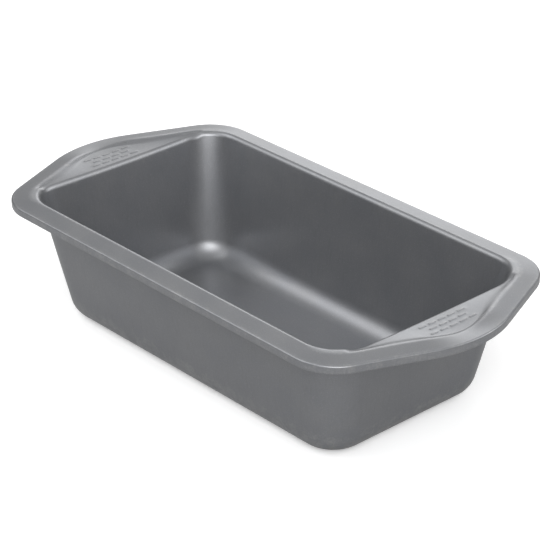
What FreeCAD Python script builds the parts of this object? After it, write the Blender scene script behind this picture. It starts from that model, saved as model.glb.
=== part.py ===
"""Loaf pan: one deep-drawn sheet-steel shell with a curled rim, and the steel wire inside the curl.

Millimetres, +Z up, +X along the pan towards one handle.  The origin is the centre of the flat base.
"""
import FreeCAD
import Part
import math
import os

from FreeCAD import Vector

# ---- driving dimensions ----------------------------------------------------------------------
SHEET = 0.6                 # steel sheet
HEIGHT = 69.2               # base to the crown of the rim

TOP_LENGTH = 236.4          # outside of the walls, carried up to the crown's height
TOP_WIDTH = 128.8
TOP_CORNER = 18.8
BASE_LENGTH = 210.6         # outside of the walls, carried down to the base
BASE_WIDTH = 108.2
BASE_CORNER = 21.0
BASE_FILLET = 13.6          # outside radius between base and walls
MOUTH_FILLET = 2.9          # upper side of the bend from wall to rim

RIM_LENGTH = 297.2          # outside of the rolled edge, over the two handles
RIM_WIDTH = 153.3           # outside of the rolled edge, over the long sides
RIM_CORNER = 25.65          # plan radius of the rim's corners, at the outside
HANDLE_NOSE = 63.95         # plan radius of a handle's outer end
FLANK_ANGLE = 22.8          # plan angle between a handle's flank and the pan's width
CROWN_INSET = 10.15         # crown line inside the rim's outline, all round

CURL_WIDTH = 3.8            # the rolled edge stands taller than wide, with its corners rounded
CURL_HEIGHT = 4.6
CURL_CORNER = 1.0
CURL_DROP = 1.27            # top of the rolled edge below the crown
CURL_START = 95.0           # where the band runs into the curl's first corner, seen from that corner's centre
CURL_RETURN = 0.7           # how far the sheet's end runs back up inside
SEAM_OVERLAP = 0.1          # how far the band's sheet runs on into the curl's
WIRE_DIAMETER = 2.4
WIRE_GAP = 1.0              # between the wire's two ends, midway along one long side

PANEL_DROP = 1.9            # handle panel below the crown
PANEL_HALF = 50.0           # half the panel's length across the pan
PANEL_SLOPE = 5.0           # plan width of the slope from the panel up to the crown
PANEL_FILLET = 3.3          # bend from the end wall to the panel
NOSE_DROP = 1.5             # crown line below its usual height, at a handle's outer end
NOSE_SADDLE = 110.0         # radius of that dip, seen along the pan

GRIP_ROWS = 3               # rows of short raised dashes on each panel
GRIP_ROW_PITCH = 4.0
GRIP_DASHES = 5
GRIP_DASH_PITCH = 6.4
GRIP_DASH = (1.5, 5.0)      # width and length of one dash
GRIP_RISE = 0.3
GRIP_CENTRE = 127.0         # middle row, from the pan's centre

# ---- worked out from them --------------------------------------------------------------------
PHI = math.radians(FLANK_ANGLE)
NOSE_CENTRE = RIM_LENGTH / 2 - HANDLE_NOSE
FLANK_REACH = NOSE_CENTRE * math.cos(PHI) + HANDLE_NOSE
CORNER_Y = RIM_WIDTH / 2 - RIM_CORNER
CORNER_X = (FLANK_REACH - RIM_CORNER - CORNER_Y * math.sin(PHI)) / math.cos(PHI)
CURL_MIDDLE = CURL_WIDTH / 2            # curl's centre inside the rim's outline
CURL_Z = HEIGHT - CURL_DROP - CURL_HEIGHT / 2
START_INSET = CURL_CORNER * (1 - math.cos(math.radians(CURL_START)))
START_DROP = CURL_DROP + CURL_CORNER * (1 - math.sin(math.radians(CURL_START)))
SLOPE = START_DROP / (CROWN_INSET - START_INSET)
BAND_END = START_INSET - SEAM_OVERLAP
END_WALL = TOP_LENGTH / 2 - SHEET
ABOVE = HEIGHT + 10.0       # clear of everything
X_AXIS = Vector(1, 0, 0)
Y_AXIS = Vector(0, 1, 0)
Z_AXIS = Vector(0, 0, 1)


def polar(cx, cy, radius, angle, z):
    """Point on a circle about (cx, cy); the angle is in radians."""
    return Vector(cx + radius * math.cos(angle), cy + radius * math.sin(angle), z)


def arc(cx, cy, radius, start, end, z):
    """Arc edge about (cx, cy), from one angle to another."""
    middle = (start + end) / 2
    points = [polar(cx, cy, radius, angle, z) for angle in (start, middle, end)]
    return Part.Arc(*points).toShape()


def join_arcs(arcs, z):
    """Closed wire of the arcs (cx, cy, radius, start, end), joined by straight lines where they part."""
    edges = []
    for index, one in enumerate(arcs):
        following = arcs[(index + 1) % len(arcs)]
        edges.append(arc(*one, z))
        here = polar(one[0], one[1], one[2], one[4], z)
        there = polar(following[0], following[1], following[2], following[3], z)
        if here.distanceToPoint(there) > 1e-6:
            edges.append(Part.makeLine(here, there))
    return Part.Wire(edges)


def rounded_rectangle(length, width, radius, z):
    """Closed wire about the Z axis."""
    x = length / 2 - radius
    y = width / 2 - radius
    quarter = math.pi / 2
    corners = [(x, y), (-x, y), (-x, -y), (x, -y)]
    return join_arcs([(cx, cy, radius, k * quarter, (k + 1) * quarter)
                      for k, (cx, cy) in enumerate(corners)], z)


def rim_arcs(offset):
    """The arcs of the rim's plan outline, moved outwards by offset."""
    nose = HANDLE_NOSE + offset
    corner = RIM_CORNER + offset
    half = math.pi / 2
    turn = math.pi
    return [
        (NOSE_CENTRE, 0.0, nose, -PHI, PHI),
        (CORNER_X, CORNER_Y, corner, PHI, half),
        (-CORNER_X, CORNER_Y, corner, half, turn - PHI),
        (-NOSE_CENTRE, 0.0, nose, turn - PHI, turn + PHI),
        (-CORNER_X, -CORNER_Y, corner, turn + PHI, turn + half),
        (CORNER_X, -CORNER_Y, corner, turn + half, 2 * turn - PHI),
    ]


def rim_outline(offset, z):
    """Closed wire of the rim's plan outline."""
    return join_arcs(rim_arcs(offset), z)


def prism(wire, rise):
    """Upright solid on a level wire."""
    return Part.Face(wire).extrude(Z_AXIS * rise)


def tub(inset, top):
    """Solid of the tub's outside, moved in by inset and carried up at the walls' slope to top."""
    grow = (top - HEIGHT) / HEIGHT
    lower = rounded_rectangle(BASE_LENGTH - 2 * inset, BASE_WIDTH - 2 * inset, BASE_CORNER - inset, 0.0)
    upper = rounded_rectangle(
        TOP_LENGTH - 2 * inset + grow * (TOP_LENGTH - BASE_LENGTH),
        TOP_WIDTH - 2 * inset + grow * (TOP_WIDTH - BASE_WIDTH),
        TOP_CORNER - inset + grow * (TOP_CORNER - BASE_CORNER), top)
    solid = Part.makeLoft([lower, upper], True, True)
    if inset > 0:
        floor = Part.makeBox(BASE_LENGTH, BASE_WIDTH, inset, Vector(-BASE_LENGTH / 2, -BASE_WIDTH / 2, 0))
        solid = solid.cut(floor)
    bottom = [edge for edge in solid.Edges if edge.BoundBox.ZMax < inset + 1e-4]
    return solid.makeFillet(BASE_FILLET - inset, bottom)


def rim_block(drop):
    """Solid under the rim's upper surface, lowered by drop: a flat crown inside, a slope outside."""
    reach = 5.0
    foot = HEIGHT - drop - (CROWN_INSET + reach) * SLOPE
    crown = rim_outline(-CROWN_INSET, HEIGHT - drop)
    skirt = rim_outline(reach, foot)
    slope = Part.makeLoft([skirt, crown], True, True)
    return slope.fuse(prism(rim_outline(reach, 0.0), foot)).removeSplitter()


def panel_cutter(side, drop):
    """What is pressed down out of one handle: a level panel with a bend into the end wall."""
    level = HEIGHT - PANEL_DROP - drop
    radius = PANEL_FILLET - drop
    wall = END_WALL + drop
    slant = (TOP_LENGTH - BASE_LENGTH) / 2 / HEIGHT
    start = Vector(wall - (PANEL_DROP + PANEL_FILLET) * slant, 0, HEIGHT - PANEL_DROP - PANEL_FILLET)
    end = Vector(END_WALL + PANEL_FILLET, 0, level)
    bulge = Vector(end.x - radius * math.sin(math.pi / 4), 0, start.z + radius * math.sin(math.pi / 4))
    far = RIM_LENGTH / 2
    corners = [end, Vector(far, 0, level), Vector(far, 0, ABOVE), Vector(start.x, 0, ABOVE), start]
    edges = [Part.Arc(start, bulge, end).toShape()]
    edges += [Part.makeLine(corners[k], corners[k + 1]) for k in range(len(corners) - 1)]
    pressed = Part.Face(Part.Wire(edges)).extrude(Y_AXIS * RIM_WIDTH)
    pressed.translate(Y_AXIS * (-RIM_WIDTH / 2))
    rise = PANEL_DROP + 2.0
    spread = rise * PANEL_SLOPE / PANEL_DROP
    lower = HEIGHT - drop - PANEL_DROP
    shrink = CROWN_INSET + PANEL_SLOPE
    plan = Part.makeLoft([rim_outline(-shrink, lower), rim_outline(-shrink + spread, lower + rise)],
                         True, True)
    plan = plan.fuse(prism(rim_outline(-shrink, lower - 2 * PANEL_FILLET), 2 * PANEL_FILLET))
    half = PANEL_HALF - PANEL_SLOPE
    sides = [Vector(0, -half, 0), Vector(0, -half, lower), Vector(0, -half - spread, lower + rise),
             Vector(0, half + spread, lower + rise), Vector(0, half, lower), Vector(0, half, 0)]
    trough = Part.Face(Part.makePolygon(sides + sides[:1])).extrude(X_AXIS * RIM_LENGTH)
    cutter = pressed.common(plan).common(trough)
    return cutter if side > 0 else cutter.mirror(Vector(), X_AXIS)


def nose_cutter(side, drop):
    """The shallow dip across a handle's outer end."""
    inner = RIM_LENGTH / 2 - CROWN_INSET - PANEL_DROP - 8.0
    middle = HEIGHT - NOSE_DROP - drop + NOSE_SADDLE
    cutter = Part.makeCylinder(NOSE_SADDLE, RIM_LENGTH, Vector(inner, 0, middle), X_AXIS)
    return cutter if side > 0 else cutter.mirror(Vector(), X_AXIS)


def skin(drop):
    """Everything under the sheet's upper side, or under its lower side where drop is the sheet."""
    block = rim_block(drop)
    mouth = block.cut(tub(SHEET - drop, ABOVE))
    edges = [edge for edge in mouth.Edges
             if abs(edge.BoundBox.ZMin - (HEIGHT - drop)) < 1e-3
             and max(edge.BoundBox.XMax, -edge.BoundBox.XMin) < TOP_LENGTH / 2 + SHEET
             and max(edge.BoundBox.YMax, -edge.BoundBox.YMin) < TOP_WIDTH / 2 + SHEET]
    mouth = mouth.makeFillet(MOUTH_FILLET - drop, edges)
    for side in (1, -1):
        mouth = mouth.cut(panel_cutter(side, drop))
        mouth = mouth.cut(nose_cutter(side, drop))
    return mouth


def along_rim(inset, profile_at):
    """Solids of a profile carried along the rim's outline moved in by inset, one for each arc and straight."""
    arcs = rim_arcs(-inset)
    pieces = []
    for index, (cx, cy, radius, start, end) in enumerate(arcs):
        following = arcs[(index + 1) % len(arcs)]
        first = polar(cx, cy, radius, start, CURL_Z)
        last = polar(cx, cy, radius, end, CURL_Z)
        other = polar(following[0], following[1], following[2], following[3], CURL_Z)
        face = profile_at(first, start)
        pieces.append(face.revolve(Vector(cx, cy, 0), Z_AXIS, math.degrees(end - start)))
        if last.distanceToPoint(other) > 1e-6:
            pieces.append(profile_at(last, end).extrude(other - last))
    return pieces


def curl_line(inset):
    """The curl's corner arcs, moved in by inset: centre across and up, radius, first and last angle."""
    across = CURL_WIDTH / 2 - CURL_CORNER
    up = CURL_HEIGHT / 2 - CURL_CORNER
    radius = CURL_CORNER - inset
    corners = [(across, up, CURL_START, 0), (across, -up, 0, -90), (-across, -up, -90, -180)]
    return [(x, y, radius, math.radians(start), math.radians(end)) for x, y, start, end in corners]


def curl_profile(point, outward):
    """Cross-section of the rolled edge about a point of its centre line."""
    def at(across, up):
        return point + Vector(across * math.cos(outward), across * math.sin(outward), up)

    def side(inset):
        """The section's corners as arcs, joined by straight lines, with the end run back up."""
        edges = []
        last = None
        for x, y, radius, start, end in curl_line(inset):
            spots = [at(x + radius * math.cos(a), y + radius * math.sin(a))
                     for a in (start, (start + end) / 2, end)]
            if last is not None:
                edges.append(Part.makeLine(last, spots[0]))
            edges.append(Part.Arc(*spots).toShape())
            last = spots[2]
        stop = last + Z_AXIS * CURL_RETURN
        edges.append(Part.makeLine(last, stop))
        return edges, stop

    outer, outer_stop = side(0.0)
    inner, inner_stop = side(SHEET)
    ends = [Part.makeLine(outer_stop, inner_stop),
            Part.makeLine(inner[0].Vertexes[0].Point, outer[0].Vertexes[0].Point)]
    return Part.Face(Part.Wire(Part.__sortEdges__(outer + inner + ends)))


def wire_profile(point, outward):
    """Round section of the wire about a point of its centre line."""
    tangent = Vector(-math.sin(outward), math.cos(outward), 0)
    return Part.Face(Part.Wire(Part.makeCircle(WIRE_DIAMETER / 2, point, tangent)))


def dash(x, y):
    """One raised dash, standing on a handle panel."""
    width, length = GRIP_DASH
    radius = width / 2
    level = HEIGHT - PANEL_DROP
    run = (length - width) / 2
    ends = [(x, y + run, radius, 0.0, math.pi), (x, y - run, radius, math.pi, 2 * math.pi)]
    return prism(join_arcs(ends, level - SHEET / 2), SHEET / 2 + GRIP_RISE)


def grip_dashes(side):
    """Staggered rows of dashes on one handle panel."""
    solids = []
    for row in range(GRIP_ROWS):
        x = GRIP_CENTRE + (row - (GRIP_ROWS - 1) / 2) * GRIP_ROW_PITCH
        count = GRIP_DASHES - row % 2
        for k in range(count):
            y = (k - (count - 1) / 2) * GRIP_DASH_PITCH
            solids.append(dash(side * x, y))
    return solids


def pan_shell():
    """The drawn sheet with its rim, handle panels and rolled edge."""
    sheet = skin(0.0).cut(skin(SHEET))
    sheet = sheet.common(prism(rim_outline(-BAND_END, 0.0), ABOVE))
    shell = sheet.fuse(along_rim(CURL_MIDDLE, curl_profile))
    shell = shell.fuse(grip_dashes(1) + grip_dashes(-1))
    return shell.removeSplitter()


def rim_wire():
    """The stiffening wire inside the rolled edge, cut to length with a small gap."""
    pieces = along_rim(CURL_MIDDLE, wire_profile)
    ring = pieces[0].fuse(pieces[1:]).removeSplitter()
    room = 2 * WIRE_DIAMETER
    gap = Part.makeBox(WIRE_GAP, room, room,
                       Vector(-WIRE_GAP / 2, RIM_WIDTH / 2 - CURL_MIDDLE - room / 2, CURL_Z - room / 2))
    return ring.cut(gap)


def export(name, shape):
    """Write one sub-part and print what it measures."""
    box = shape.optimalBoundingBox()
    print(name, "solids", len(shape.Solids), "valid", shape.isValid(), "volume", round(shape.Volume, 1),
          "size", [round(v, 2) for v in (box.XLength, box.YLength, box.ZLength)])
    shape.exportStep("parts/" + name + ".step")


os.makedirs("parts", exist_ok=True)
export("pan_shell", pan_shell())
export("rim_wire", rim_wire())
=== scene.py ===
"""Looks of a loaf pan: the coated sheet, the wire in its rolled edge, a floor, studio light and a camera.

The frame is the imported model's, +Z up and +X along the pan.  The pan's four quarters are alike, so its
outlines are worked out over the quarter where x and y are positive, and mirrored.
"""
import math

import bpy
import numpy as np
from mathutils import Matrix, Vector
from mathutils.geometry import delaunay_2d_cdt


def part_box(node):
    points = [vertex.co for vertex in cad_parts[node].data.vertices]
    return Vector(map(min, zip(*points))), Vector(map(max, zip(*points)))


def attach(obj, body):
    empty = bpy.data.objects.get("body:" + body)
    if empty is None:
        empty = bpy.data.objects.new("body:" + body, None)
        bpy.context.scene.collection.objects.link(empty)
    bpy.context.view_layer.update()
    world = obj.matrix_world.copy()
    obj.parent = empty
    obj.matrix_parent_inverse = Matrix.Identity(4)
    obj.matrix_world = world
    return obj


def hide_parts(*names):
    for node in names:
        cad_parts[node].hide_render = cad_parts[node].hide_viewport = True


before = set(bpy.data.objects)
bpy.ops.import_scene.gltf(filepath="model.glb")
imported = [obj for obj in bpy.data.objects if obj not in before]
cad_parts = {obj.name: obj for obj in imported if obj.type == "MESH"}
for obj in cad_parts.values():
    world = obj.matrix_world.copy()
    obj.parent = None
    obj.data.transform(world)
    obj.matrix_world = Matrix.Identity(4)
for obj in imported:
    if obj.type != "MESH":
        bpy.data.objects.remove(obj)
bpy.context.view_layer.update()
_, shell_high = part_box("pan_shell")

# ---- sizes, in millimetres; meshes, lights and camera are made in metres ---------------------------
MM = 0.001
SHEET = 0.6                     # steel sheet
HEIGHT = shell_high.z / MM

TOP_LENGTH = 236.4              # outside of the walls, carried up to the crown's height
TOP_WIDTH = 128.8
TOP_CORNER = 18.8
BASE_LENGTH = 210.6             # outside of the walls, carried down to the base
BASE_WIDTH = 108.2
BASE_CORNER = 21.0
BASE_FILLET = 13.0              # inside radius between floor and walls

MOUTH_FILLET = 2.9              # bend from wall to rim
MOUTH_TURN = math.radians(80)   # roughly how far that bend turns

RIM_LENGTH = 2 * shell_high.x / MM      # outside of the rolled edge
RIM_WIDTH = 2 * shell_high.y / MM
RIM_CORNER = 25.65
HANDLE_NOSE = 63.95             # plan radius of a handle's outer end
FLANK_ANGLE = math.radians(22.8)
CROWN_INSET = 10.15             # crown line inside the rim's outline, all round
CREASE_REACH = 1.6              # how far the crown line's rounding reaches to each side
LEAST_CREASE = 0.2              # where the rim's level shelf is narrow

CURL_WIDTH = 3.8                # the rolled edge stands taller than wide
CURL_HEIGHT = 4.6
CURL_CORNER = 1.0
CURL_DROP = 1.27                # its top below the crown
CURL_START = 95.0               # where the band runs into its first corner, seen from that corner's centre
CURL_RETURN = 0.7               # how far the sheet's end runs back up inside
SEAM_REACH = 0.12               # how far the rounding reaches where the band runs into it
WIRE_RADIUS = 1.2
WIRE_GAP = 1.0                  # between its two ends, midway along the +Y side
WIRE_CHAMFER = 0.15             # at the ends

PANEL_DROP = 1.9                # handle panel below the crown
PANEL_FILLET = 3.3
PANEL_RISE = 0.9                # how far the panel rises from the wall to the slope round it
PANEL_TIP = 58.5                # where the panel runs out towards a corner, from the pan's middle line
PANEL_FULL = 53.0               # where it has its whole depth
STEP_RUN = (1.0, 4.0)           # plan width of the slope up to the crown, at the handle's end and elsewhere
STEP_FOOT_REACH = (0.5, 2.0)    # how far the rounding at its foot reaches
STEP_HALF = 34.0                # half the length over which it widens, and over which the panel rises
STEP_SHARE = 0.4                # most of the rim's shelf that the slope takes up
STEP_FOOT_SHARE = 0.13          # and that the rounding at its foot takes up
NOSE_DROP = 1.5                 # crown line's dip at a handle's outer end
NOSE_HALF = 22.0                # half the dip's length

GRIP_ROWS = 3                   # rows of short raised dashes on each panel
GRIP_ROW_PITCH = 4.0
GRIP_DASHES = 5                 # in the outer rows; one fewer between them
GRIP_DASH_PITCH = 6.4
GRIP_DASH_WIDTH = 1.7
GRIP_DASH_LENGTH = 5.2
GRIP_RISE = 0.3
GRIP_CENTRE = 127.0             # middle row, from the pan's centre
# a dash's section: how far inside its foot, and at which share of its rise
GRIP_SECTION = [(0.0, 0.0), (0.12, 0.06), (0.26, 0.3), (0.4, 0.7), (0.54, 0.94), (0.7, 1.0)]

# how much each stretch of the sheet rubs against things, on its upper side and on its under side
TOP_WEAR = {"mouth": 0.4, "crown": 0.45, "step_foot": 0.2, "seam": 0.5, "curl": 0.5, "floor": 0.25}
UNDER_WEAR = {"floor": 0.7, "fillet": 0.6, "wall": 0.2, "curl": 0.0, "seam": 0.0}
OTHER_WEAR = 0.1                # on stretches that aren't named
SPREAD_WEAR = 0.15              # on the floor's and the panels' middles
DASH_WEAR = 0.8

NOSE_STEPS = 14                 # stations along each stretch of the outline's quarter
FLANK_STEPS = 16
CORNER_STEPS = 20
SIDE_STEPS = 24
BASE_STEPS = 14                 # faces round each bend of the sheet
WALL_STEPS = 8
MOUTH_STEPS = 12
FOOT_STEPS = 6
CREASE_STEPS = 7
BAND_STEPS = 4
SEAM_STEPS = 2
DASH_STEPS = 7                  # faces round a quarter of a dash's end
WIRE_SIDES = 20
FLOOR_ROWS = (0.4, 0.75)        # rows on the floor, from the corners' centres to the fillet's edge
PANEL_SPACING = 2.2             # between the points spread over a panel, and over the floor
FLOOR_SPACING = 6.0
ROW_PITCH = 0.866               # between their rows, as a share of that
CLEARANCE = 0.45                # to the nearest border, as a share of that
BORDER = 0.35                   # width of the strip of faces along a panel's borders
BORDER_SHARE = 0.3              # and the most of the panel's width that it takes
NARROW = 1.0                    # a panel ends where it is narrower than this
TINY = 0.02                     # keeps rows that nearly meet apart

# ---- worked out from them ---------------------------------------------------------------------------
CURL_Z = HEIGHT - CURL_DROP - CURL_HEIGHT / 2
NOSE_CENTRE = RIM_LENGTH / 2 - HANDLE_NOSE
FLANK_REACH = NOSE_CENTRE * math.cos(FLANK_ANGLE) + HANDLE_NOSE
CORNER_Y = RIM_WIDTH / 2 - RIM_CORNER
CORNER_X = (FLANK_REACH - RIM_CORNER - CORNER_Y * math.sin(FLANK_ANGLE)) / math.cos(FLANK_ANGLE)
TOP_CENTRE = np.array([TOP_LENGTH / 2 - TOP_CORNER, TOP_WIDTH / 2 - TOP_CORNER])
BASE_CENTRE = np.array([BASE_LENGTH / 2 - BASE_CORNER, BASE_WIDTH / 2 - BASE_CORNER])


# ---- small helpers ----------------------------------------------------------------------------------
def unit(vectors):
    """Each row at length 1."""
    return vectors / np.maximum(np.linalg.norm(vectors, axis=-1, keepdims=True), 1e-12)


def blend(first, second, share):
    """From first, at share 0, to second, at share 1."""
    return first * (1 - share) + second * share


def column(values):
    """One value per station, to multiply points with."""
    return values[:, None]


def smooth(value):
    """Eases from 0 to 1."""
    value = np.clip(value, 0, 1)
    return value * value * (3 - 2 * value)


def raised(plan, level):
    """Plan points with a height."""
    return np.column_stack([plan, np.broadcast_to(level, len(plan))])


# ---- the sheet's upper side -------------------------------------------------------------------------
def rim_quarter():
    """The rim's outline over a quarter, from the handle's middle to the long side's: points and normals."""
    nose = np.linspace(0, FLANK_ANGLE, NOSE_STEPS + 1)
    corner = np.linspace(FLANK_ANGLE, math.pi / 2, CORNER_STEPS + 1)
    nose_normals = np.column_stack([np.cos(nose), np.sin(nose)])
    corner_normals = np.column_stack([np.cos(corner), np.sin(corner)])
    nose_points = np.array([NOSE_CENTRE, 0]) + HANDLE_NOSE * nose_normals
    corner_points = np.array([CORNER_X, CORNER_Y]) + RIM_CORNER * corner_normals
    flank = np.linspace(nose_points[-1], corner_points[0], FLANK_STEPS + 1)[1:-1]
    side = np.linspace(corner_points[-1], [0, RIM_WIDTH / 2], SIDE_STEPS + 1)[1:]
    points = np.vstack([nose_points, flank, corner_points, side])
    normals = np.vstack([nose_normals, np.tile(nose_normals[-1], (len(flank), 1)),
                         corner_normals, np.tile(corner_normals[-1], (len(side), 1))])
    return points, normals


def wall_at(level, share, outward):
    """The wall's inner side at a height, or at one height per station."""
    rise = column(np.broadcast_to(level, len(share)) / HEIGHT)
    centre = blend(BASE_CENTRE, TOP_CENTRE, rise)
    radius = blend(BASE_CORNER, TOP_CORNER, rise) - SHEET
    return raised(share * centre + radius * outward, level)


def turn_at(before, corner, after):
    """How far the line turns at each corner."""
    cosine = np.sum(unit(corner - before) * unit(after - corner), axis=1)
    return np.maximum(np.arccos(np.clip(cosine, -1, 1)), 1e-4)


def round_corner(before, corner, after, reach, steps):
    """Rows of an arc in place of each corner, from reach before it to reach after it."""
    arriving = unit(corner - before)
    leaving = unit(after - corner)
    turn = turn_at(before, corner, after)
    reach = np.broadcast_to(reach, len(turn))
    radius = reach / np.tan(turn / 2)
    sideways = unit(leaving - column(np.cos(turn)) * arriving)
    start = corner - column(reach) * arriving
    rows = []
    for angle in np.linspace(0, turn, steps + 1):
        along = column(radius * np.sin(angle)) * arriving
        rows.append(start + along + column(radius * (1 - np.cos(angle))) * sideways)
    return rows


def between(first, second, steps):
    """The rows that divide the stretch between two rows."""
    return [first + (second - first) * k / steps for k in range(1, steps)]


def curl_section():
    """The rolled edge's section about its centre, from the band round to the sheet's end: across, up."""
    across = CURL_WIDTH / 2 - CURL_CORNER
    up = CURL_HEIGHT / 2 - CURL_CORNER
    spots = []
    corners = [(across, up, CURL_START, 0, 12), (across, -up, 0, -90, 8), (-across, -up, -90, -180, 6)]
    for x, y, start, end, steps in corners:
        for angle in np.radians(np.linspace(start, end, steps + 1)):
            spots.append((x + CURL_CORNER * math.cos(angle), y + CURL_CORNER * math.sin(angle)))
    spots.append((spots[-1][0], spots[-1][1] + CURL_RETURN))
    return spots


def curl_row(outline, normal, spot):
    """A point of the rolled edge's section, at every station."""
    return raised(outline + (spot[0] - CURL_WIDTH / 2) * normal, CURL_Z + spot[1])


def sheet_quarter():
    """Rows of points over a quarter, from the floor to the end of the rolled edge, and each row's name."""
    outline, normal = rim_quarter()
    crown = outline - CROWN_INSET * normal
    nearest = np.minimum(crown, TOP_CENTRE)
    share = nearest / TOP_CENTRE
    outward = unit(crown - nearest)
    lip = wall_at(HEIGHT, share, outward)
    shelf = np.linalg.norm(crown - lip[:, :2], axis=1)
    panel = smooth((PANEL_TIP - crown[:, 1]) / (PANEL_TIP - PANEL_FULL))
    wide = smooth(crown[:, 1] / STEP_HALF)
    shelf_left = shelf - MOUTH_FILLET * math.tan(MOUTH_TURN / 2) - 3 * TINY
    plain_reach = np.clip(shelf_left, LEAST_CREASE, CREASE_REACH)
    crease_reach = blend(plain_reach, CREASE_REACH, panel)
    step_run = np.minimum(blend(STEP_RUN[0], STEP_RUN[1], wide), STEP_SHARE * shelf)
    step_reach = np.minimum(blend(STEP_FOOT_REACH[0], STEP_FOOT_REACH[1], wide), STEP_FOOT_SHARE * shelf)
    foot_reach = blend(TINY, step_reach, panel)
    low = HEIGHT - PANEL_DROP

    floor_centre = raised(share * BASE_CENTRE, SHEET)
    heel = wall_at(SHEET, share, outward)
    bend = wall_at(blend(HEIGHT, low, panel), share, outward)
    top = raised(crown, HEIGHT - NOSE_DROP * (1 - smooth(crown[:, 1] / NOSE_HALF)))
    plain_foot = top + column(crease_reach + 2 * TINY) * unit(lip - top)
    panel_foot = raised(crown - column(step_run) * normal, low + PANEL_RISE * wide)
    foot = blend(plain_foot, panel_foot, column(panel))
    curl = [curl_row(outline, normal, spot) for spot in curl_section()]
    seam = curl[0]

    fillet_reach = BASE_FILLET * np.tan(turn_at(floor_centre, heel, bend) / 2)
    bend_radius = blend(MOUTH_FILLET, PANEL_FILLET, panel)
    room = np.linalg.norm(foot - bend, axis=1) - foot_reach - TINY
    bend_reach = np.minimum(bend_radius * np.tan(turn_at(heel, bend, foot) / 2), room)

    fillet = round_corner(floor_centre, heel, bend, fillet_reach, BASE_STEPS)
    lip_bend = round_corner(heel, bend, foot, bend_reach, MOUTH_STEPS)
    step_foot = round_corner(bend, foot, top, foot_reach, FOOT_STEPS)
    step_top = round_corner(foot, top, seam, crease_reach, CREASE_STEPS)
    run_in = round_corner(top, seam, curl[1], SEAM_REACH, SEAM_STEPS)
    gap = step_foot[0] - lip_bend[-1]
    width = np.maximum(np.linalg.norm(gap, axis=1), 1e-6)
    margin = column(np.minimum(BORDER / width, BORDER_SHARE))

    rows = []
    names = []

    def add(name, new):
        rows.extend(new)
        names.extend([name] * len(new))

    add("floor", [blend(floor_centre, fillet[0], part) for part in FLOOR_ROWS])
    add("fillet", fillet)
    add("wall", between(fillet[-1], lip_bend[0], WALL_STEPS))
    add("mouth", lip_bend)
    add("panel_inner", [lip_bend[-1] + gap * margin])
    add("panel_outer", [step_foot[0] - gap * margin])
    add("step_foot", step_foot)
    add("crown", step_top)
    add("band", between(step_top[-1], run_in[0], BAND_STEPS))
    add("seam", run_in)
    add("curl", curl[2:])
    return np.array(rows), names


def all_round(quarter):
    """Rows over a quarter, mirrored to rows all round the pan, anticlockwise from the handle at +X."""
    last = quarter.shape[1] - 1
    rising = quarter[:, :last]
    falling = quarter[:, last:0:-1]
    flips = [(rising, (1, 1, 1)), (falling, (-1, 1, 1)), (rising, (-1, -1, 1)), (falling, (1, -1, 1))]
    return np.concatenate([part * np.array(signs) for part, signs in flips], axis=1)


# ---- meshes -----------------------------------------------------------------------------------------
def inside(point, ring):
    """True if a plan point is inside a closed ring of plan points."""
    x, y = point
    found = False
    for (ax, ay), (bx, by) in zip(ring, np.roll(ring, -1, axis=0)):
        if (ay > y) != (by > y) and x < (bx - ax) * (y - ay) / (by - ay) + ax:
            found = not found
    return found


class Skin:
    """Points and faces of a mesh while it is made."""

    def __init__(self):
        self.points = []
        self.faces = []
        self.dash_tops = []

    def add(self, points):
        """Adds points and returns their numbers."""
        first = len(self.points)
        self.points.extend(np.asarray(points, float))
        return list(range(first, len(self.points)))

    def join(self, inner, outer):
        """Faces between two closed rings of the same count."""
        count = len(inner)
        for k in range(count):
            after = (k + 1) % count
            self.faces.append([inner[k], outer[k], outer[after], inner[after]])

    def fill(self, border, holes, spacing, height_at):
        """Triangles over the area inside a border and outside its holes, with points spread over it."""
        rings = [np.array([self.points[i][:2] for i in ring]) for ring in [border] + holes]

        def within(spot):
            return inside(spot, rings[0]) and not any(inside(spot, ring) for ring in rings[1:])

        low, high = rings[0].min(0), rings[0].max(0)
        known = np.vstack(rings)
        row_pitch = spacing * ROW_PITCH
        spread = []
        for row, y in enumerate(np.arange(low[1], high[1], row_pitch)):
            for x in np.arange(low[0] + (row % 2) * spacing / 2, high[0], spacing):
                clear = np.linalg.norm(known - [x, y], axis=1).min() > spacing * CLEARANCE
                if clear and within((x, y)):
                    spread.append((x, y, height_at(x, y)))
        numbers = [i for ring in [border] + holes for i in ring] + self.add(spread)
        edges = []
        first = 0
        for ring in rings:
            edges += [(first + k, first + (k + 1) % len(ring)) for k in range(len(ring))]
            first += len(ring)
        plan = [Vector(self.points[i][:2]) for i in numbers]
        spots, _, triangles, origins, _, _ = delaunay_2d_cdt(plan, edges, [], 0, 1e-7)
        for corners in triangles:
            if within(sum((spots[c] for c in corners), Vector((0, 0))) / 3):
                self.faces.append([numbers[origins[c][0]] for c in corners])


def panel_height(inner, outer):
    """Height over a handle panel: straight across it, between the quarter's rows along its two borders."""
    def place(row, y):
        return [np.interp(abs(y), row[:, 1], row[:, axis]) for axis in (0, 2)]

    def height_at(x, y):
        x_in, z_in = place(inner, y)
        x_out, z_out = place(outer, y)
        share = (abs(x) - x_in) / max(x_out - x_in, 1e-6)
        return blend(z_in, z_out, min(max(share, 0), 1))

    return height_at


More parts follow.
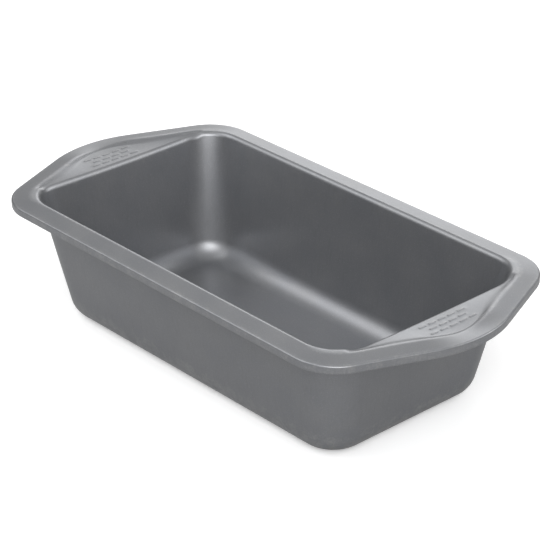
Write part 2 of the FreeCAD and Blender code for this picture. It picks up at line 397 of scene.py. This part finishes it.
def dash_rings(skin, x, y, height_at):
    """One raised dash as closed rings from its foot to its top; returns the foot's ring."""
    run = (GRIP_DASH_LENGTH - GRIP_DASH_WIDTH) / 2
    rings = []
    for inset, share in GRIP_SECTION:
        radius = GRIP_DASH_WIDTH / 2 - inset
        ring = []
        for end, first in ((1, 0.0), (-1, math.pi)):
            for k in range(2 * DASH_STEPS + 1):
                angle = first + k * math.pi / (2 * DASH_STEPS)
                spot = (x + radius * math.cos(angle), y + end * run + radius * math.sin(angle))
                ring.append((*spot, height_at(*spot) + share * GRIP_RISE))
        rings.append(skin.add(ring))
    for lower, upper in zip(rings, rings[1:]):
        skin.join(upper, lower)
    top = rings[-1]
    skin.dash_tops += rings[-2] + top
    half = len(top) // 2
    for k in range(half - 1):
        skin.faces.append([top[k], top[k + 1], top[-2 - k], top[-1 - k]])
    return rings[0]


def new_object(name, points, faces, material):
    """A mesh object, from points in millimetres."""
    mesh = bpy.data.meshes.new(name)
    mesh.from_pydata([tuple(p) for p in np.asarray(points) * MM], [], faces)
    mesh.validate()
    mesh.shade_smooth()
    mesh.materials.append(material)
    made = bpy.data.objects.new(name, mesh)
    bpy.context.scene.collection.objects.link(made)
    return made


def point_normals(points, faces):
    """Normals at the points of a skin."""
    mesh = bpy.data.meshes.new("scratch")
    mesh.from_pydata([tuple(p) for p in points], [], faces)
    mesh.update()
    found = np.zeros(len(mesh.vertices) * 3, np.float32)
    mesh.vertices.foreach_get("normal", found)
    bpy.data.meshes.remove(mesh)
    return found.reshape(-1, 3).astype(float)


def add_panel(skin, side, border, height_at):
    """A handle panel inside its border, with staggered rows of dashes."""
    dashes = []
    for row in range(GRIP_ROWS):
        x = side * (GRIP_CENTRE + (row - (GRIP_ROWS - 1) / 2) * GRIP_ROW_PITCH)
        count = GRIP_DASHES - row % 2
        for k in range(count):
            y = (k - (count - 1) / 2) * GRIP_DASH_PITCH
            dashes.append(dash_rings(skin, x, y, height_at))
    skin.fill(border, dashes, PANEL_SPACING, height_at)


def upper_side():
    """The sheet's upper side, the numbers of its rings of points, and each ring's name."""
    quarter, names = sheet_quarter()
    rows = all_round(quarter)
    count = rows.shape[1]
    skin = Skin()
    rings = [skin.add(row) for row in rows]
    inner = names.index("panel_inner")
    outer = inner + 1
    width = np.linalg.norm(quarter[outer] - quarter[inner], axis=1)
    reach = int(np.argmax(width < NARROW)) - 1
    panels = [[(middle + k) % count for k in range(-reach, reach + 1)] for middle in (0, count // 2)]
    for k in range(len(rings) - 1):
        if k != inner:
            skin.join(rings[k], rings[k + 1])
    open_stations = {k for stations in panels for k in stations[:-1]}
    for k in range(count):
        if k not in open_stations:
            after = (k + 1) % count
            skin.faces.append([rings[inner][k], rings[outer][k], rings[outer][after], rings[inner][after]])
    height_at = panel_height(quarter[inner, :reach + 1], quarter[outer, :reach + 1])
    for side, stations in zip((1, -1), panels):
        border = [rings[outer][k] for k in stations] + [rings[inner][k] for k in reversed(stations)]
        add_panel(skin, side, border, height_at)
    skin.fill(rings[0], [], FLOOR_SPACING, lambda x, y: SHEET)
    return skin, rings, names


def wear_at(skin, rings, names):
    """How much every point rubs against things, on the upper side and on the under side."""
    total = len(skin.points)
    wear = np.full((2, total), SPREAD_WEAR)
    for ring, name in zip(rings, names):
        for side, amounts in enumerate((TOP_WEAR, UNDER_WEAR)):
            wear[side, ring] = amounts.get(name, OTHER_WEAR)
    spread = np.arange(total) > rings[-1][-1]
    low = np.array(skin.points)[:, 2] < HEIGHT / 2
    wear[0, skin.dash_tops] = DASH_WEAR
    wear[1, spread & low] = UNDER_WEAR["floor"]
    return wear.ravel()


def build_pan(material):
    """The drawn sheet as one closed mesh: upper side, lower side and the cut edge inside the curl."""
    skin, rings, names = upper_side()
    upper = np.array(skin.points)
    lower = upper - SHEET * point_normals(upper, skin.faces)
    total = len(upper)
    faces = skin.faces + [[i + total for i in reversed(face)] for face in skin.faces]
    edge = rings[-1]
    for here, after in zip(edge, edge[1:] + edge[:1]):
        faces.append([here, here + total, after + total, after])
    made = new_object("pan_sheet", np.vstack([upper, lower]), faces, material)
    wear = made.data.attributes.new("wear", "FLOAT", "POINT")
    wear.data.foreach_set("value", wear_at(skin, rings, names))
    return made


def build_wire(material):
    """The wire in the rolled edge: a round rod, open at one gap."""
    outline, normal = rim_quarter()
    loop = all_round(np.array([raised(outline - CURL_WIDTH / 2 * normal, CURL_Z)]))[0]
    outward = all_round(np.array([raised(normal, 0.0)]))[0]
    gap_at = len(outline) - 1
    order = [(gap_at + k) % len(loop) for k in range(1, len(loop))]
    start = loop[gap_at] - [WIRE_GAP / 2, 0, 0]
    end = loop[gap_at] + [WIRE_GAP / 2, 0, 0]
    path = np.vstack([start, loop[order], end])
    normals = np.vstack([outward[gap_at], outward[order], outward[gap_at]])
    setting_out = unit(path[1] - path[0])
    arriving = unit(path[-1] - path[-2])
    upwards = np.array([0, 0, 1])
    skin = Skin()
    rings = []

    def ring(centre, direction, radius):
        angles = [2 * math.pi * k / WIRE_SIDES for k in range(WIRE_SIDES)]
        rings.append(skin.add([centre + radius * (math.cos(a) * direction + math.sin(a) * upwards)
                               for a in angles]))

    ring(path[0], normals[0], WIRE_RADIUS - WIRE_CHAMFER)
    ring(path[0] + WIRE_CHAMFER * setting_out, normals[0], WIRE_RADIUS)
    for centre, direction in zip(path[1:-1], normals[1:-1]):
        ring(centre, direction, WIRE_RADIUS)
    ring(path[-1] - WIRE_CHAMFER * arriving, normals[-1], WIRE_RADIUS)
    ring(path[-1], normals[-1], WIRE_RADIUS - WIRE_CHAMFER)
    for before, following in zip(rings, rings[1:]):
        skin.join(before, following)
    faces = [rings[0], rings[-1][::-1]] + skin.faces
    return new_object("edge_wire", skin.points, faces, material)


# ---- materials --------------------------------------------------------------------------------------
# sizes of the coating's features, in millimetres, and which of the noise's levels show them
CLOUD_SIZE, CLOUD_LEVELS = 24.0, (0.3, 0.7)
FLAKE_SIZE, FLAKE_LEVELS = 0.45, (0.55, 0.8)
DRAW_SIZE, DRAW_LEVELS = 1.1, (0.5, 0.8)
SCRATCH_SIZE, SCRATCH_LEVELS = 0.7, (0.4, 0.7)
PEEL_SIZE = 1.6
WEAR_SIZES, WEAR_LEVELS = (1.3, 6.0), (0.11, 0.36)
DRAW_STRETCH = (1, 1, 40)
SCRATCH_STRETCH = (14, 3, 3)
UPRIGHT = (0.7, 0.3)            # upward share of the normal on level surfaces and on upright ones

DARK_COATING = (0.23, 0.236, 0.25, 1)
PALE_COATING = (0.252, 0.256, 0.266, 1)
FLAKE_COLOUR, FLAKE_SHARE = (0.39, 0.395, 0.405, 1), 0.35
DRAW_COLOUR, DRAW_SHARE = (0.2, 0.2, 0.205, 1), 0.3
WORN_COLOUR = (0.36, 0.36, 0.36, 1)
COATING_METAL = 0.7
COATING_ROUGHNESS = (0.3, 0.345)
SCRATCH_ROUGHNESS = 0.02        # added
WORN_ROUGHNESS = 0.06           # taken off
PEEL_HEIGHT = 0.012
FLAKE_HEIGHT = 0.004
DRAW_HEIGHT = 0.006
WORN_DEPTH = 0.01

# the wire's
SPOT_SIZE, SPOT_LEVELS = 3.0, (0.45, 0.75)
DIE_SIZE, DIE_STRETCH, DIE_HEIGHT = 0.12, (30, 30, 1), 0.008
BRIGHT_WIRE = (0.54, 0.54, 0.55, 1)
DULL_WIRE = (0.36, 0.34, 0.32, 1)
WIRE_LEVELS, WIRE_ROUGHNESS = (0.3, 0.8), (0.26, 0.48)

# the floor's: what the camera sees, and what is thrown onto the pan
FLOOR_SHOWN = (0.9, 0.9, 0.9, 1)
FLOOR_GLOW = 0.27
FLOOR_THROWN = (0.5, 0.5, 0.5, 1)


class Finish:
    """A Principled material under construction, with short calls for the nodes that all finishes use."""

    def __init__(self, name):
        self.material = bpy.data.materials.new(name)
        self.material.use_nodes = True
        self.tree = self.material.node_tree
        self.shader = self.tree.nodes["Principled BSDF"]
        self.place = self.tree.nodes.new("ShaderNodeTexCoord").outputs["Object"]

    def feed(self, socket, value):
        """Sets a socket to a number or colour, or links an output to it."""
        if isinstance(value, bpy.types.NodeSocket):
            self.tree.links.new(value, socket)
        else:
            socket.default_value = value

    def noise(self, size, detail, stretch=(1, 1, 1)):
        """Noise from 0 to 1 with features of a size in millimetres, drawn out along the axes by stretch."""
        mapping = self.tree.nodes.new("ShaderNodeMapping")
        mapping.inputs["Scale"].default_value = [1 / (size * MM * along) for along in stretch]
        self.feed(mapping.inputs["Vector"], self.place)
        noise = self.tree.nodes.new("ShaderNodeTexNoise")
        noise.inputs["Scale"].default_value = 1.0
        noise.inputs["Detail"].default_value = detail
        self.feed(noise.inputs["Vector"], mapping.outputs["Vector"])
        return noise.outputs["Fac"]

    def ranged(self, value, levels, made=(0.0, 1.0)):
        """Value, with its two levels made into two others and held there beyond them."""
        node = self.tree.nodes.new("ShaderNodeMapRange")
        self.feed(node.inputs["Value"], value)
        node.inputs["From Min"].default_value, node.inputs["From Max"].default_value = levels
        node.inputs["To Min"].default_value, node.inputs["To Max"].default_value = made
        return node.outputs["Result"]

    def calculate(self, operation, first, second=0.0):
        """One step of arithmetic."""
        node = self.tree.nodes.new("ShaderNodeMath")
        node.operation = operation
        self.feed(node.inputs[0], first)
        self.feed(node.inputs[1], second)
        return node.outputs["Value"]

    def colour(self, share, first, second):
        """Colour from first, at share 0, to second, at share 1."""
        node = self.tree.nodes.new("ShaderNodeMix")
        node.data_type = "RGBA"
        self.feed(node.inputs["Factor"], share)
        self.feed(node.inputs["A"], first)
        self.feed(node.inputs["B"], second)
        return node.outputs["Result"]

    def steepness(self):
        """0 on level surfaces, 1 on upright ones."""
        normal = self.tree.nodes.new("ShaderNodeNewGeometry").outputs["True Normal"]
        split = self.tree.nodes.new("ShaderNodeSeparateXYZ")
        self.feed(split.inputs["Vector"], normal)
        return self.ranged(self.calculate("ABSOLUTE", split.outputs["Z"]), UPRIGHT)

    def attribute(self, name):
        """A number that the mesh keeps for each point."""
        node = self.tree.nodes.new("ShaderNodeAttribute")
        node.attribute_name = name
        return node.outputs["Fac"]

    def bump(self, height, distance, under=None):
        """Normal from a height in millimetres, on top of another bump."""
        node = self.tree.nodes.new("ShaderNodeBump")
        node.inputs["Distance"].default_value = distance * MM
        self.feed(node.inputs["Height"], height)
        if under is not None:
            self.feed(node.inputs["Normal"], under)
        return node.outputs["Normal"]


def coated_steel():
    """Satin dark grey non-stick coating: flake, orange peel, faint draw marks up the walls, light wear."""
    finish = Finish("coated_steel")
    shader = finish.shader
    cloud = finish.noise(CLOUD_SIZE, 3.0)
    flake = finish.noise(FLAKE_SIZE, 1.0)
    peel = finish.noise(PEEL_SIZE, 2.0)
    draw = finish.calculate("MULTIPLY", finish.noise(DRAW_SIZE, 3.0, DRAW_STRETCH), finish.steepness())
    scratch = finish.noise(SCRATCH_SIZE, 2.0, SCRATCH_STRETCH)
    fine_wear, coarse_wear = WEAR_SIZES
    patchy = finish.calculate("MULTIPLY", finish.noise(fine_wear, 4.0), finish.noise(coarse_wear, 2.0))
    worn = finish.ranged(finish.calculate("MULTIPLY", patchy, finish.attribute("wear")), WEAR_LEVELS)

    grey = finish.colour(finish.ranged(cloud, CLOUD_LEVELS), DARK_COATING, PALE_COATING)
    grey = finish.colour(finish.ranged(flake, FLAKE_LEVELS, (0.0, FLAKE_SHARE)), grey, FLAKE_COLOUR)
    grey = finish.colour(finish.ranged(draw, DRAW_LEVELS, (0.0, DRAW_SHARE)), grey, DRAW_COLOUR)
    finish.feed(shader.inputs["Base Color"], finish.colour(worn, grey, WORN_COLOUR))
    shader.inputs["Metallic"].default_value = COATING_METAL

    rough = finish.ranged(cloud, CLOUD_LEVELS, COATING_ROUGHNESS)
    rough = finish.calculate("ADD", rough, finish.ranged(scratch, SCRATCH_LEVELS, (0.0, SCRATCH_ROUGHNESS)))
    rough = finish.calculate("SUBTRACT", rough, finish.calculate("MULTIPLY", worn, WORN_ROUGHNESS))
    finish.feed(shader.inputs["Roughness"], rough)

    normal = finish.bump(peel, PEEL_HEIGHT)
    normal = finish.bump(flake, FLAKE_HEIGHT, normal)
    normal = finish.bump(draw, DRAW_HEIGHT, normal)
    finish.feed(shader.inputs["Normal"], finish.bump(worn, -WORN_DEPTH, normal))
    return finish.material


def wire_steel():
    """Bright drawn wire with fine die lines and a few dull spots."""
    finish = Finish("wire_steel")
    shader = finish.shader
    spots = finish.noise(SPOT_SIZE, 3.0)
    lines = finish.noise(DIE_SIZE, 2.0, DIE_STRETCH)
    steel = finish.colour(finish.ranged(spots, SPOT_LEVELS), BRIGHT_WIRE, DULL_WIRE)
    finish.feed(shader.inputs["Base Color"], steel)
    shader.inputs["Metallic"].default_value = 1.0
    finish.feed(shader.inputs["Roughness"], finish.ranged(spots, WIRE_LEVELS, WIRE_ROUGHNESS))
    finish.feed(shader.inputs["Normal"], finish.bump(lines, DIE_HEIGHT))
    return finish.material


def floor_paint():
    """Plain pale floor, which throws less light on the pan than it shows."""
    finish = Finish("floor_paint")
    tree, shader = finish.tree, finish.shader
    shader.inputs["Base Color"].default_value = FLOOR_SHOWN
    shader.inputs["Roughness"].default_value = 0.8
    shader.inputs["Specular IOR Level"].default_value = 0.0
    shader.inputs["Emission Color"].default_value = (1, 1, 1, 1)
    shader.inputs["Emission Strength"].default_value = FLOOR_GLOW
    thrown = tree.nodes.new("ShaderNodeBsdfDiffuse")
    thrown.inputs["Color"].default_value = FLOOR_THROWN
    choice = tree.nodes.new("ShaderNodeMixShader")
    finish.feed(choice.inputs["Fac"], tree.nodes.new("ShaderNodeLightPath").outputs["Is Camera Ray"])
    finish.feed(choice.inputs[1], thrown.outputs["BSDF"])
    finish.feed(choice.inputs[2], shader.outputs["BSDF"])
    finish.feed(tree.nodes["Material Output"].inputs["Surface"], choice.outputs["Shader"])
    return finish.material


# ---- the pan ----------------------------------------------------------------------------------------
pan = build_pan(coated_steel())
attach(pan, "root")
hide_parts("pan_shell")

wire = build_wire(wire_steel())
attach(wire, "root")
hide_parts("rim_wire")


# ---- floor, lights and camera -----------------------------------------------------------------------
FLOOR_Z = -0.02                 # a hair below the base
FLOOR_HALF = 3000.0             # far larger than the view
GLOW = 0.55                     # overhead glow, fading to none at the horizon
BACKDROP = (0.95, 0.95, 0.95, 1)
CAMERA_ANGLES = (48.083, 27.343, -0.232)        # azimuth from -Y towards +X, elevation, roll
CAMERA_PLACE = (1108.74, 4.304, -22.985)        # distance from the crown's middle, aside, above
CAMERA_LENS = 143.59
CAMERA_REACH = 20.0             # metres
LAMPS = [                       # azimuth from +Y towards -X, elevation, strength, focus
    (226.6, 33.4, 5.6, 12.5),
    (42.0, 21.0, 2.9, 42.0),
    (131.4, 47.7, 2.6, 13.5),
    (330.7, 35.5, 3.3, 19.0),
]


def add_floor():
    """A level floor under the pan."""
    signs = [(-1, -1), (1, -1), (1, 1), (-1, 1)]
    points = [(x * FLOOR_HALF, y * FLOOR_HALF, FLOOR_Z) for x, y in signs]
    new_object("floor", points, [[0, 1, 2, 3]], floor_paint())


def add_camera():
    """Long lens, from above one of the pan's corners."""
    azimuth, elevation, roll = [math.radians(angle) for angle in CAMERA_ANGLES]
    distance, aside, above = [part * MM for part in CAMERA_PLACE]
    level = math.cos(elevation)
    back = Vector((math.sin(azimuth) * level, -math.cos(azimuth) * level, math.sin(elevation)))
    right = Vector((math.cos(azimuth), math.sin(azimuth), 0))
    up = back.cross(right)
    turn = Matrix((right, up, back)).transposed() @ Matrix.Rotation(roll, 3, "Z")
    aim = Vector((0, 0, HEIGHT * MM)) + turn.col[0] * aside + turn.col[1] * above
    data = bpy.data.cameras.new("camera")
    data.lens = CAMERA_LENS
    data.clip_end = CAMERA_REACH
    camera = bpy.data.objects.new("camera", data)
    camera.matrix_world = Matrix.Translation(aim + back * distance) @ turn.to_4x4()
    bpy.context.scene.collection.objects.link(camera)
    bpy.context.scene.camera = camera


def towards(azimuth, elevation):
    """Direction at an azimuth, anticlockwise from +Y, and an elevation, in degrees."""
    turn, rise = math.radians(azimuth), math.radians(elevation)
    return (-math.sin(turn) * math.cos(rise), math.cos(turn) * math.cos(rise), math.sin(rise))


def add_world():
    """Studio light: a soft glow from above, four large soft lamps far off, and a plain backdrop."""
    world = bpy.data.worlds.new("studio")
    world.use_nodes = True
    tree = world.node_tree
    nodes, links = tree.nodes, tree.links
    place = nodes.new("ShaderNodeTexCoord").outputs["Generated"]

    def calculate(operation, *values):
        node = nodes.new("ShaderNodeMath")
        node.operation = operation
        for socket, value in zip(node.inputs, values):
            if isinstance(value, float):
                socket.default_value = value
            else:
                links.new(value, socket)
        return node.outputs["Value"]

    split = nodes.new("ShaderNodeSeparateXYZ")
    links.new(place, split.inputs["Vector"])
    total = calculate("MULTIPLY", calculate("MAXIMUM", split.outputs["Z"], 0.0), GLOW)
    for azimuth, elevation, strength, focus in LAMPS:
        facing = nodes.new("ShaderNodeVectorMath")
        facing.operation = "DOT_PRODUCT"
        facing.inputs[1].default_value = towards(azimuth, elevation)
        links.new(place, facing.inputs[0])
        fall = calculate("MULTIPLY", calculate("SUBTRACT", facing.outputs["Value"], 1.0), focus)
        total = calculate("ADD", total, calculate("MULTIPLY", calculate("EXPONENT", fall), strength))

    background = nodes["Background"]
    background.inputs["Color"].default_value = (1, 1, 1, 1)
    links.new(total, background.inputs["Strength"])
    backdrop = nodes.new("ShaderNodeBackground")
    backdrop.inputs["Color"].default_value = BACKDROP
    choice = nodes.new("ShaderNodeMixShader")
    links.new(nodes.new("ShaderNodeLightPath").outputs["Is Camera Ray"], choice.inputs["Fac"])
    links.new(background.outputs["Background"], choice.inputs[1])
    links.new(backdrop.outputs["Background"], choice.inputs[2])
    links.new(choice.outputs["Shader"], nodes["World Output"].inputs["Surface"])
    bpy.context.scene.world = world


add_floor()
add_camera()
add_world()
bpy.context.scene.view_settings.view_transform = "Standard"
